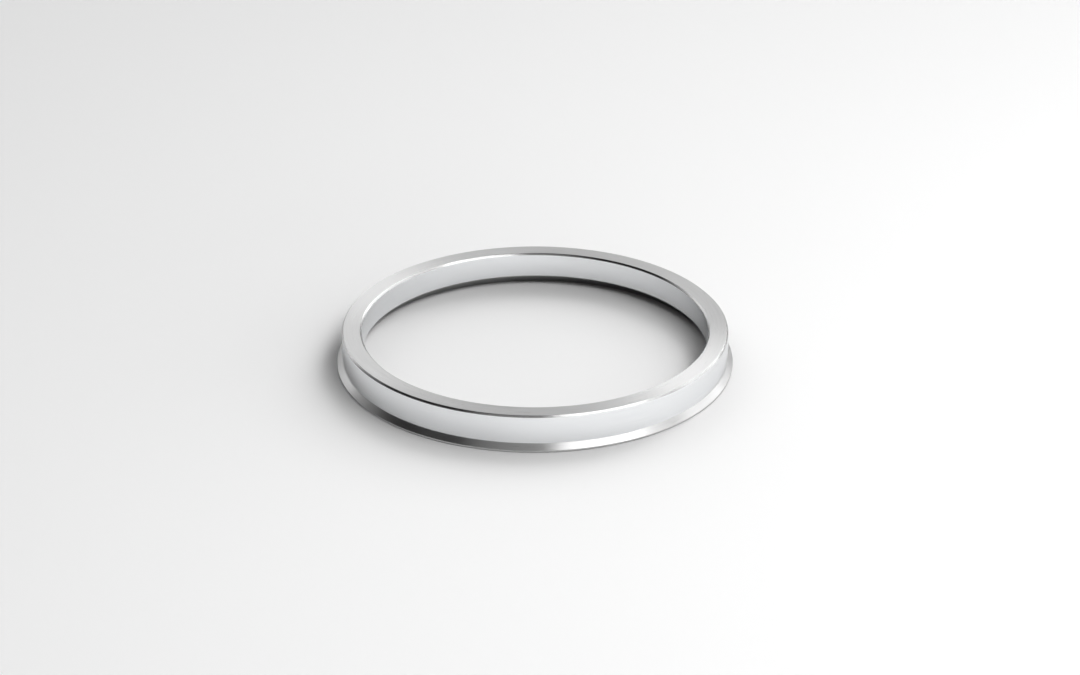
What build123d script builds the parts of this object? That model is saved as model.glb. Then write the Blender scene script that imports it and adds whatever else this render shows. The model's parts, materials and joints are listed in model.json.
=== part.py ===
from build123d import *
import math
import os

# Hub centric ring, turned from aluminium in one piece.
# It fills the gap between a car's hub pilot and a wheel's larger centre bore.
# Millimetres, +Z up. The origin is the centre of the foot, the flat face that lies against the hub.

# Fits
bore_diameter = 95.1       # slides over the hub pilot
wall = 5.5                 # from the bore to the spigot, which fills the wheel's 106.1 centre bore
height = 10.0              # from the foot to the top face

# Lip round the foot, which stops the ring at the wheel's centre bore
lip_projection = 1.45      # how far the lip stands out from the spigot
rim_height = 0.6           # the lip's straight outer edge
lip_taper_angle = 45.0     # the lip's upper side, from the axis

# Edges
spigot_chamfer = 0.5       # leads the spigot into the wheel
bore_chamfer = 0.5         # inner edge of the top face
lead_in_depth = 3.0        # wide chamfer at the foot of the bore, clear of the fillet behind the pilot
lead_in_angle = 45.0       # the lead-in's slope, from the axis
edge_break = 0.15          # takes the sharp corner off the lip where it meets the foot

bore_radius = bore_diameter / 2
spigot_radius = bore_radius + wall
lip_radius = spigot_radius + lip_projection
lip_height = rim_height + lip_projection / math.tan(math.radians(lip_taper_angle))
lead_in_radius = bore_radius + lead_in_depth * math.tan(math.radians(lead_in_angle))

# Half section as (radius, height), round the profile from the inner edge of the foot
half_section = [
    (lead_in_radius, 0),
    (lip_radius - edge_break, 0),
    (lip_radius, edge_break),
    (lip_radius, rim_height),
    (spigot_radius, lip_height),
    (spigot_radius, height - spigot_chamfer),
    (spigot_radius - spigot_chamfer, height),
    (bore_radius + bore_chamfer, height),
    (bore_radius, height - bore_chamfer),
    (bore_radius, lead_in_depth),
]

with BuildPart() as hub_ring:
    with BuildSketch(Plane.XZ):
        with BuildLine():
            Polyline(*half_section, close=True)
        make_face()
    revolve(axis=Axis.Z)

os.makedirs("parts", exist_ok=True)
export_step(hub_ring.part, "parts/hub_ring.step")

print(f"bore {2 * bore_radius:.2f}, spigot {2 * spigot_radius:.2f}, lip {2 * lip_radius:.2f}, height {height:.2f}")
print(f"foot is flat from radius {lead_in_radius:.2f} to {lip_radius - edge_break:.2f}")
print(f"volume {hub_ring.part.volume:.1f} mm3")
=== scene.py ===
# %% [markdown]
# A hub centric ring, dressed for its picture. The real part is a flat aluminium ring turned on a lathe.
# It sits in a wheel's centre bore and fits over the smaller pilot of the car's hub, so that the wheel
# runs true. Its shape is already measured and modelled, and this lesson loads that model as a fixed frame
# and builds the finished ring around it.

# %% Load the measured ring
import json
import math

import bmesh
import bpy
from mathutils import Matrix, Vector


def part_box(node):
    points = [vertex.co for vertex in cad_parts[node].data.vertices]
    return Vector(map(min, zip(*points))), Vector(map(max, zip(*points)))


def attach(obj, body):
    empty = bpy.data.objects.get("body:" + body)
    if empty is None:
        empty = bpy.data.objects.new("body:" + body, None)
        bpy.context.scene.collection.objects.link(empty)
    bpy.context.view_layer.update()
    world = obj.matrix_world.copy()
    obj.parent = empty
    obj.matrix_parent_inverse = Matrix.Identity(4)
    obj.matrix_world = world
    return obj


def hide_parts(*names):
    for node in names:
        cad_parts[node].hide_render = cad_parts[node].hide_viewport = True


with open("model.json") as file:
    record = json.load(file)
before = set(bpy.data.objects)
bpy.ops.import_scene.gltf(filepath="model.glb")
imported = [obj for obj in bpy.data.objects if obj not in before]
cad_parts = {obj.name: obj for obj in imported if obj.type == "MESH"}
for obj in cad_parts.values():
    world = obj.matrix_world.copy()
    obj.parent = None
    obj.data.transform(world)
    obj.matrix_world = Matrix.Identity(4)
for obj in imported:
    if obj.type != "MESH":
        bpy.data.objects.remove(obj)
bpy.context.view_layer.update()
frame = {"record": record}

# %% [markdown]
# Every size of the finished ring comes from the frame, so the picture can't drift from the part. The
# record's two round mounts give the bore and the spigot: a radius, and a wall whose middle and length are
# known. The box gives the lip's radius and the height. The chamfers are what is left between them.

# %% Read the ring's sizes
MM = 0.001
mounts = {mount["name"]: mount for mount in frame["record"]["mounts"]}
_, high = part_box("hub_ring")


def round_wall(name):
    """Radius, foot and top of a round mount's straight wall, in metres."""
    mount = mounts[name]
    middle = mount["pos_m"][2]
    half_length = mount["dims"]["length_mm"] * MM / 2
    return mount["dims"]["r_mm"] * MM, middle - half_length, middle + half_length


bore_radius, bore_foot, bore_top = round_wall("hub_bore")
spigot_radius, lip_height, spigot_top = round_wall("wheel_spigot")
lip_radius = high.x
height = high.z
wall = spigot_radius - bore_radius
lip_projection = lip_radius - spigot_radius
rim_height = lip_height - lip_projection
spigot_chamfer = height - spigot_top
bore_chamfer = height - bore_top
print(f"bore {bore_radius / MM:.2f}, spigot {spigot_radius / MM:.2f}, lip {lip_radius / MM:.2f} mm radius")
print(f"lead-in {bore_foot / MM:.2f}, chamfers {spigot_chamfer / MM:.2f} and {bore_chamfer / MM:.2f} mm")

# %% [markdown]
# A lathe makes a round thing from one outline, and Blender can too: half of the ring's section is drawn
# flat, then spun about the axis. It could be built up from circles instead, but the section is where a
# machinist thinks, and each cut is then one operator. The blank is a plane as wide as the wall and as
# tall as the ring.

# %% Cut the blank's section
TINY = 0.001 * MM


def select_points(piece, wanted):
    """Select the vertices whose place passes the test, and the edges and faces between them."""
    bpy.ops.mesh.select_mode(type="VERT")
    bpy.ops.mesh.select_all(action="DESELECT")
    mesh = bmesh.from_edit_mesh(piece.data)
    for vertex in mesh.verts:
        vertex.select_set(wanted(vertex.co))
    mesh.select_flush_mode()
    bmesh.update_edit_mesh(piece.data)


def near(value, target):
    """Whether two lengths are the same, to a thousandth of a millimetre."""
    return abs(value - target) < TINY


bpy.ops.object.select_all(action="DESELECT")
blank_middle = (bore_radius + wall / 2, 0, height / 2)
bpy.ops.mesh.primitive_plane_add(size=1, location=blank_middle, rotation=(math.pi / 2, 0, 0))
ring = bpy.context.object
ring.name = "turned_ring"
ring.data.name = "turned_ring"
ring.scale = (wall, height, 1)
bpy.ops.object.transform_apply(location=True, rotation=True, scale=True)
print("blank section", [round(size / MM, 3) for size in ring.dimensions], "mm")

# %% [markdown]
# The lip is a collar at the foot that stops the ring at the wheel. Its section is pulled out of the
# blank: the outer edge gets one more point at the lip's height, the short edge below it is extruded
# outwards, and the new corner slides down until the upper side slopes at 45 degrees.

# %% Pull out the lip
bpy.ops.object.mode_set(mode="EDIT")
select_points(ring, lambda place: near(place.x, spigot_radius))
bpy.ops.mesh.subdivide(number_cuts=1, ngon=True)
select_points(ring, lambda place: near(place.x, spigot_radius) and near(place.z, height / 2))
bpy.ops.transform.translate(value=(0, 0, lip_height - height / 2))
select_points(ring, lambda place: near(place.x, spigot_radius) and place.z < lip_height + TINY)
bpy.ops.mesh.extrude_edges_move(TRANSFORM_OT_translate={"value": (lip_projection, 0, 0)})
select_points(ring, lambda place: near(place.x, lip_radius) and near(place.z, lip_height))
bpy.ops.transform.translate(value=(0, 0, rim_height - lip_height))
bpy.ops.mesh.select_all(action="SELECT")
bpy.ops.mesh.dissolve_limited(angle_limit=math.radians(1))
print("section corners", len(bmesh.from_edit_mesh(ring.data).verts))

# %% [markdown]
# Corners come off next, as a turning tool takes them off. A vertex bevel of one segment is a plain
# chamfer. The wide one at the foot of the bore leads the hub's pilot in, and the small ones ease the top
# edges. Then every corner left gets a bevel of a few segments: a cut edge is never knife sharp, and the
# tiny round is what catches a thin line of light.

# %% Chamfer the corners and break the edges
FOOT_BREAK = 0.15 * MM
EDGE_ROUND = 0.025 * MM
EDGE_STEPS = 3


def cut_corner(radius, level, size):
    """Chamfer one corner of the section by the same size along both sides."""
    select_points(ring, lambda place: near(place.x, radius) and near(place.z, level))
    bpy.ops.mesh.bevel(offset_type="OFFSET", offset=size, segments=1, affect="VERTICES")


cut_corner(bore_radius, 0, bore_foot)
cut_corner(bore_radius, height, bore_chamfer)
cut_corner(spigot_radius, height, spigot_chamfer)
cut_corner(lip_radius, 0, FOOT_BREAK)
bpy.ops.mesh.select_all(action="SELECT")
bpy.ops.mesh.bevel(offset_type="OFFSET", offset=EDGE_ROUND, segments=EDGE_STEPS, affect="VERTICES")
print("section points", len(bmesh.from_edit_mesh(ring.data).verts))

# %% [markdown]
# Now the section is turned. Only its outline is wanted, because a face left inside would be a wall across
# the ring, so the face is deleted and the edges spin a full turn about the axis. The last outline lands
# on the first: merging doubles closes the seam, and the normals are then turned outwards.

# %% Turn the section into a ring
TURN_STEPS = 512

bpy.ops.mesh.select_all(action="SELECT")
bpy.ops.mesh.delete(type="ONLY_FACE")
bpy.ops.mesh.select_all(action="SELECT")
bpy.ops.mesh.spin(steps=TURN_STEPS, angle=2 * math.pi, center=(0, 0, 0), axis=(0, 0, 1))
bpy.ops.mesh.select_all(action="SELECT")
bpy.ops.mesh.remove_doubles(threshold=TINY)
bpy.ops.mesh.normals_make_consistent(inside=False)
bpy.ops.object.mode_set(mode="OBJECT")
print("ring mesh", len(ring.data.vertices), "points", len(ring.data.polygons), "faces")

# %% [markdown]
# The wide faces have to stay dead flat while the tiny rounds between them shade smoothly. Smooth shading
# alone would bend the light across the whole width of a face, so a Weighted Normal modifier lets the
# large faces decide.

# %% Shade the ring
SMOOTH_LIMIT = math.radians(35)

bpy.ops.object.shade_smooth_by_angle(angle=SMOOTH_LIMIT)
weighting = ring.modifiers.new("flat faces stay flat", "WEIGHTED_NORMAL")
weighting.keep_sharp = True
bpy.ops.object.modifier_apply(modifier=weighting.name)
print("sharp limit", round(math.degrees(SMOOTH_LIMIT)), "degrees")

# %% [markdown]
# A lathe leaves its signature: the tool moves a fraction of a millimetre with each turn, so the metal is
# covered in fine rings, no two alike. Every finish of this part carries them, so they are one node group.
# Noise is read at a place that hardly changes along the turning direction and quickly across it, which
# draws it out into rings. Across means outwards on a face and along the axis on a wall, so radius and
# height are added before they are divided by the pitch. Height counts more than radius, and downwards, or
# the two would cancel out on a 45 degree slope. Object coordinates keep the rings on the metal whichever
# way it is seen.

# %% Find the place across the lathe marks
AROUND_SCALE = 3.0
HEIGHT_SHARE = -1.6

marks = bpy.data.node_groups.new("lathe marks", "ShaderNodeTree")
marks.interface.new_socket(name="Pitch", in_out="INPUT", socket_type="NodeSocketFloat")
marks.interface.new_socket(name="Height", in_out="OUTPUT", socket_type="NodeSocketFloat")
marks.interface.new_socket(name="Shade", in_out="OUTPUT", socket_type="NodeSocketFloat")
marks_in = marks.nodes.new("NodeGroupInput")
marks_out = marks.nodes.new("NodeGroupOutput")
metal_place = marks.nodes.new("ShaderNodeTexCoord")
flatten = marks.nodes.new("ShaderNodeVectorMath")
flatten.operation = "MULTIPLY"
flatten.inputs[1].default_value = (1, 1, 0)
marks.links.new(metal_place.outputs["Object"], flatten.inputs[0])
from_axis = marks.nodes.new("ShaderNodeVectorMath")
from_axis.operation = "LENGTH"
marks.links.new(flatten.outputs["Vector"], from_axis.inputs[0])
outwards = marks.nodes.new("ShaderNodeVectorMath")
outwards.operation = "NORMALIZE"
marks.links.new(flatten.outputs["Vector"], outwards.inputs[0])
turned_place = marks.nodes.new("ShaderNodeVectorMath")
turned_place.operation = "SCALE"
turned_place.inputs["Scale"].default_value = AROUND_SCALE
marks.links.new(outwards.outputs["Vector"], turned_place.inputs[0])
split = marks.nodes.new("ShaderNodeSeparateXYZ")
marks.links.new(metal_place.outputs["Object"], split.inputs[0])
across = marks.nodes.new("ShaderNodeMath")
across.operation = "MULTIPLY_ADD"
across.inputs[1].default_value = HEIGHT_SHARE
marks.links.new(split.outputs["Z"], across.inputs[0])
marks.links.new(from_axis.outputs["Value"], across.inputs[2])
feed = marks.nodes.new("ShaderNodeMath")
feed.operation = "DIVIDE"
marks.links.new(across.outputs["Value"], feed.inputs[0])
marks.links.new(marks_in.outputs["Pitch"], feed.inputs[1])
lift = marks.nodes.new("ShaderNodeCombineXYZ")
marks.links.new(feed.outputs["Value"], lift.inputs["Z"])
mark_place = marks.nodes.new("ShaderNodeVectorMath")
mark_place.operation = "ADD"
marks.links.new(turned_place.outputs["Vector"], mark_place.inputs[0])
marks.links.new(lift.outputs["Vector"], mark_place.inputs[1])
print("lathe marks are read with", len(marks.nodes), "nodes")

# %% [markdown]
# Read at that place, plain noise turns into grooves, with two finer layers that roughen them. Its value is
# their height, which a finish uses for its bump. Stretched over the whole range from 0 to 1 it is also
# their shade: at the bottom of a groove the metal is a touch darker and rougher than on the ridges.

# %% Cut the grooves
grooves = marks.nodes.new("ShaderNodeTexNoise")
grooves.inputs["Scale"].default_value = 1.0
grooves.inputs["Detail"].default_value = 2.0
grooves.inputs["Roughness"].default_value = 0.6
marks.links.new(mark_place.outputs["Vector"], grooves.inputs["Vector"])
marks.links.new(grooves.outputs["Fac"], marks_out.inputs["Height"])
spread = marks.nodes.new("ShaderNodeMapRange")
spread.inputs["From Min"].default_value = 0.3
spread.inputs["From Max"].default_value = 0.7
marks.links.new(grooves.outputs["Fac"], spread.inputs["Value"])
marks.links.new(spread.outputs["Result"], marks_out.inputs["Shade"])
print("lathe marks group", len(marks.nodes), "nodes")

# %% [markdown]
# The faces and the slope of the lip keep the marks of a quick cut. Tiny grooves round the ring scatter
# light across themselves far more than along themselves, which stretches every highlight towards the
# axis. That is anisotropy: a Tangent node gives the turning direction, and a quarter turn points the
# spread across it. Cut metal also glares less than a mirror when it is seen nearly flat along its
# surface, and on a metal that is what Specular Tint sets. Numbers that are the same all over stay on the
# shader's own sockets, and only what changes over the metal is linked. A plain grey metal would do from
# far away, but up close it looks like film.

# %% Mix the turned finish
QUARTER_TURN = 0.25


def metal_finish(name, pitch, depth, dark, light, smooth, rough, stretch, edge):
    """A metal whose colour, roughness and surface follow the lathe marks.

    Stretch is its anisotropy, and edge its tint where it is seen along the surface.
    """
    material = bpy.data.materials.new(name)
    material.use_nodes = True
    nodes = material.node_tree.nodes
    links = material.node_tree.links
    shader = nodes["Principled BSDF"]
    shader.inputs["Metallic"].default_value = 1.0
    shader.inputs["Anisotropic"].default_value = stretch
    shader.inputs["Anisotropic Rotation"].default_value = QUARTER_TURN
    shader.inputs["Specular Tint"].default_value = (edge, edge, edge, 1)
    rings = nodes.new("ShaderNodeGroup")
    rings.node_tree = marks
    rings.inputs["Pitch"].default_value = pitch
    colour = nodes.new("ShaderNodeMix")
    colour.data_type = "RGBA"
    colour.inputs["A"].default_value = (*dark, 1)
    colour.inputs["B"].default_value = (*light, 1)
    links.new(rings.outputs["Shade"], colour.inputs["Factor"])
    links.new(colour.outputs["Result"], shader.inputs["Base Color"])
    gloss = nodes.new("ShaderNodeMapRange")
    gloss.inputs["To Min"].default_value = rough
    gloss.inputs["To Max"].default_value = smooth
    links.new(rings.outputs["Shade"], gloss.inputs["Value"])
    links.new(gloss.outputs["Result"], shader.inputs["Roughness"])
    bump = nodes.new("ShaderNodeBump")
    bump.inputs["Strength"].default_value = 1.0
    bump.inputs["Distance"].default_value = depth
    links.new(rings.outputs["Height"], bump.inputs["Height"])
    links.new(bump.outputs["Normal"], shader.inputs["Normal"])
    tangent = nodes.new("ShaderNodeTangent")
    tangent.direction_type = "RADIAL"
    tangent.axis = "Z"
    links.new(tangent.outputs["Tangent"], shader.inputs["Tangent"])
    ring.data.materials.append(material)
    print(name, "roughness", smooth, "to", rough, "in slot", len(ring.data.materials) - 1)


metal_finish(
    "turned aluminium",
    pitch=0.35 * MM,
    depth=0.008 * MM,
    dark=(0.51, 0.51, 0.51),
    light=(0.545, 0.545, 0.545),
    smooth=0.27,
    rough=0.33,
    stretch=0.89,
    edge=0.85,
)

# %% [markdown]
# The two walls that fit over and into something are cut again, slowly and with a fine tool. They come out
# satin: the same metal, brighter, a touch cooler and with marks so shallow that they only soften a
# reflection. One recipe with other numbers is enough, which is why the recipe is a function.

# %% Mix the satin finish
metal_finish(
    "satin aluminium",
    pitch=0.3 * MM,
    depth=0.001 * MM,
    dark=(0.835, 0.85, 0.865),
    light=(0.88, 0.89, 0.90),
    smooth=0.23,
    rough=0.27,
    stretch=0.6,
    edge=0.85,
)

# %% [markdown]
# The lead-in at the foot of the bore and the rim of the lip are cut by the flank of the tool in one
# plunge, so they are smoother than the faces. Both stand close to the floor in the ring's own shadow and
# mirror it, which makes the thin dark band inside the ring and the grey line under the lip. A rough metal
# there would pick up light from all round, and the band would turn pale.

# %% Mix the plunged finish
metal_finish(
    "plunged aluminium",
    pitch=0.35 * MM,
    depth=0.001 * MM,
    dark=(0.57, 0.57, 0.57),
    light=(0.61, 0.61, 0.61),
    smooth=0.11,
    rough=0.13,
    stretch=0.6,
    edge=0.7,
)

# %% [markdown]
# The two top edges are eased last, with a sharp tool and a light cut. These chamfers are the same grey as
# the faces, but their marks are finer, so they scatter less light from far off. On the dark side of the
# ring they draw a thin dark line along the edge, and on the bright side a thin white one. They are only
# half a millimetre wide, yet such lines are what makes an edge look crisp.

# %% Mix the chamfered finish
metal_finish(
    "chamfered aluminium",
    pitch=0.35 * MM,
    depth=0.004 * MM,
    dark=(0.51, 0.51, 0.51),
    light=(0.545, 0.545, 0.545),
    smooth=0.245,
    rough=0.275,
    stretch=0.89,
    edge=0.85,
)

# %% [markdown]
# A new face takes the first slot, so the whole ring is turned aluminium by now. The other finishes go to
# faces that are found by where they are and which way they look: the walls and the rim are upright, with
# the rim furthest out, the lead-in looks down and inwards, and the chamfers slope up inside the spigot's
# radius. A normal rises by 0 on a wall, and by 0.71, up or down, on a 45 degree slope. That is safer than
# picking faces by number, which changes with every edit.

# %% Share the finishes out
UPRIGHT = 0.05
SLOPE_FROM = 0.6
SLOPE_TO = 0.8
lead_in_radius = bore_radius + bore_foot


def give_finish(slot, wanted):
    """Assign a slot to the faces that pass a test of their radius and of their normal's rise."""
    bpy.ops.mesh.select_all(action="DESELECT")
    mesh = bmesh.from_edit_mesh(ring.data)
    for face in mesh.faces:
        face.select_set(wanted(face.calc_center_median().xy.length, face.normal.z))
    bmesh.update_edit_mesh(ring.data)
    ring.active_material_index = slot
    bpy.ops.object.material_slot_assign()


bpy.ops.object.mode_set(mode="EDIT")
bpy.ops.mesh.select_mode(type="FACE")
give_finish(1, lambda radius, rise: abs(rise) < UPRIGHT and radius < spigot_radius + TINY)
give_finish(2, lambda radius, rise: abs(rise) < UPRIGHT and radius > spigot_radius + TINY)
give_finish(2, lambda radius, rise: SLOPE_FROM < -rise < SLOPE_TO and radius < lead_in_radius)
give_finish(3, lambda radius, rise: SLOPE_FROM < rise < SLOPE_TO and radius < spigot_radius)
bpy.ops.object.mode_set(mode="OBJECT")
for slot, material in enumerate(ring.data.materials):
    print(material.name, sum(1 for face in ring.data.polygons if face.material_index == slot), "faces")

# %% [markdown]
# The finished ring now takes the place of the measured one. Riding on the frame's only body keeps it
# where the part is, and the measured ring stays hidden underneath for the physics.

# %% Fix the ring to the frame
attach(ring, "root")
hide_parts("hub_ring")
print(ring.name, "stands for hub_ring,", len(ring.data.polygons), "faces")

# %% [markdown]
# The ring lies on a sheet of white paper. Light that bounces off it onto the metal should be a plain
# white's, but the paper itself is shown lighter, as in a picture exposed for a white background. Light
# Path tells the two apart: rays from the camera, and mirrored ones that show the paper in the metal, see
# the lighter paper. Both are diffuse, so the soft shadow round the ring stays.

# %% Lay the floor
FLOOR_SIZE = 5.5
FLOOR_DROP = 0.01 * MM
FLOOR_COLOUR = 0.86
FLOOR_WHITE = 1.0

bpy.ops.object.select_all(action="DESELECT")
bpy.ops.mesh.primitive_plane_add(size=FLOOR_SIZE, location=(0, 0, -FLOOR_DROP))
floor = bpy.context.object
floor.name = "floor"
paper = bpy.data.materials.new("floor paper")
paper.use_nodes = True
paper_nodes = paper.node_tree.nodes
paper_links = paper.node_tree.links
paper_nodes.remove(paper_nodes["Principled BSDF"])
matt = paper_nodes.new("ShaderNodeBsdfDiffuse")
matt.inputs["Color"].default_value = (FLOOR_COLOUR, FLOOR_COLOUR, FLOOR_COLOUR, 1)
bright = paper_nodes.new("ShaderNodeBsdfDiffuse")
bright.inputs["Color"].default_value = (FLOOR_WHITE, FLOOR_WHITE, FLOOR_WHITE, 1)
rays = paper_nodes.new("ShaderNodeLightPath")
seen = paper_nodes.new("ShaderNodeMath")
seen.operation = "MAXIMUM"
paper_links.new(rays.outputs["Is Camera Ray"], seen.inputs[0])
paper_links.new(rays.outputs["Is Glossy Ray"], seen.inputs[1])
choice = paper_nodes.new("ShaderNodeMixShader")
paper_links.new(seen.outputs["Value"], choice.inputs["Fac"])
paper_links.new(matt.outputs["BSDF"], choice.inputs[1])
paper_links.new(bright.outputs["BSDF"], choice.inputs[2])
paper_links.new(choice.outputs["Shader"], paper_nodes["Material Output"].inputs["Surface"])
floor.data.materials.append(paper)
print("floor", FLOOR_SIZE, "m wide")

# %% [markdown]
# Bare metal has hardly a colour of its own: what it shows is the studio. So the light is a set of soft
# boxes in a nearly dark room. A soft box is a rectangular area lamp that faces the ring. Its brightness is
# its power over its area and pi, so that is how each power is worked out, and a box that is made larger
# stays as bright. The camera sees none of them, only what they light.

# %% Darken the room and make a soft box
AMBIENT = 0.0185

world = bpy.data.worlds.new("studio")
bpy.context.scene.world = world
world.use_nodes = True
world.node_tree.nodes["Background"].inputs["Color"].default_value = (1, 1, 1, 1)
world.node_tree.nodes["Background"].inputs["Strength"].default_value = AMBIENT


def soft_box(name, azimuth, elevation, distance, width, tall, brightness):
    """A rectangular lamp that faces the ring, with angles in degrees and sizes in metres."""
    azimuth = math.radians(azimuth)
    elevation = math.radians(elevation)
    level = math.cos(elevation)
    heading = Vector((level * math.cos(azimuth), level * math.sin(azimuth), math.sin(elevation)))
    centre = Vector((0, 0, height / 2))
    facing = heading.to_track_quat("Z", "Y").to_euler()
    bpy.ops.object.light_add(type="AREA", location=centre + heading * distance, rotation=facing)
    lamp = bpy.context.object
    lamp.name = name
    lamp.data.shape = "RECTANGLE"
    lamp.data.size = width
    lamp.data.size_y = tall
    lamp.data.energy = math.pi * width * tall * brightness
    lamp.visible_camera = False
    print(name, width, "by", tall, "m", round(lamp.data.energy, 2), "W")


print("room light", AMBIENT)

# %% [markdown]
# Each box is there for something that can be seen on the ring. The front box makes the white sweep on the
# lip, the back strip the bright ends of the top face, and the gap at the left is left dark on purpose.
# Four low strips stand almost on the floor. Those in front and at the sides light the paper round the
# ring, but the ring's own wall keeps them off the paper inside, which is why that is a shade darker, and
# the one behind fills both ends of the lip. A small strip near the right side makes the paper there the
# whitest. Near boxes let the light fall off over the floor, and far ones keep it even.

# %% Place the soft boxes
soft_box("front fill", azimuth=299, elevation=58, distance=0.75, width=1.5, tall=0.593, brightness=0.365)
soft_box("front box", azimuth=320, elevation=56, distance=0.8, width=0.56, tall=0.304, brightness=3.65)
soft_box("back strip", azimuth=58.2, elevation=33.9, distance=4, width=1.4, tall=2.6, brightness=5.8)
soft_box("back panel", azimuth=113.6, elevation=29, distance=4, width=4.56, tall=2.84, brightness=1.23)
soft_box("side panel", azimuth=24.5, elevation=37.9, distance=1.2, width=0.79, tall=1.18, brightness=1.27)
soft_box("corner strip", azimuth=-21, elevation=33, distance=0.55, width=0.204, tall=0.3, brightness=1.05)
soft_box("low left strip", azimuth=227, elevation=4.5, distance=4, width=3.73, tall=0.53, brightness=2.45)
soft_box("low front strip", azimuth=303, elevation=4.5, distance=4, width=9.6, tall=0.53, brightness=7.9)
soft_box("low back strip", azimuth=88, elevation=8.5, distance=4, width=9.5, tall=0.42, brightness=1.1)
soft_box("low right strip", azimuth=15.5, elevation=6, distance=4, width=3.1, tall=0.6, brightness=4.4)
soft_box("near right strip", azimuth=-8, elevation=14, distance=0.5, width=0.3, tall=0.12, brightness=2.2)

# %% [markdown]
# The camera stands in front of the ring and looks down on it. A long lens from well back keeps the
# ellipses of the ring's edges nearly alike, as they are when such a small thing is photographed for a
# catalogue. The lens is given in pixels of the picture's width, because that is what can be measured, and
# turned into millimetres. Cycles would also gather the light that the metal throws back onto the paper.
# Those bright arcs are switched off, so the paper inside the ring keeps an even shade.

# %% Set the camera
FRAME_WIDTH_PX = 1080
FOCAL_LENGTH_PX = 2923
VIEW_ELEVATION = math.radians(26.33)
VIEW_DISTANCE = 807.4 * MM
AIM = Vector((1.36, 2.57, 5.19)) * MM

camera_data = bpy.data.cameras.new("camera")
camera_data.lens = camera_data.sensor_width * FOCAL_LENGTH_PX / FRAME_WIDTH_PX
camera = bpy.data.objects.new("camera", camera_data)
bpy.context.collection.objects.link(camera)
towards_camera = Vector((0, -math.cos(VIEW_ELEVATION), math.sin(VIEW_ELEVATION)))
camera.location = AIM + towards_camera * VIEW_DISTANCE
camera.rotation_euler = (math.pi / 2 - VIEW_ELEVATION, 0, 0)
bpy.context.scene.camera = camera
bpy.context.scene.view_settings.view_transform = "Standard"
bpy.context.scene.cycles.caustics_reflective = False
print("lens", round(camera_data.lens, 1), "mm, camera at", [round(value, 3) for value in camera.location])
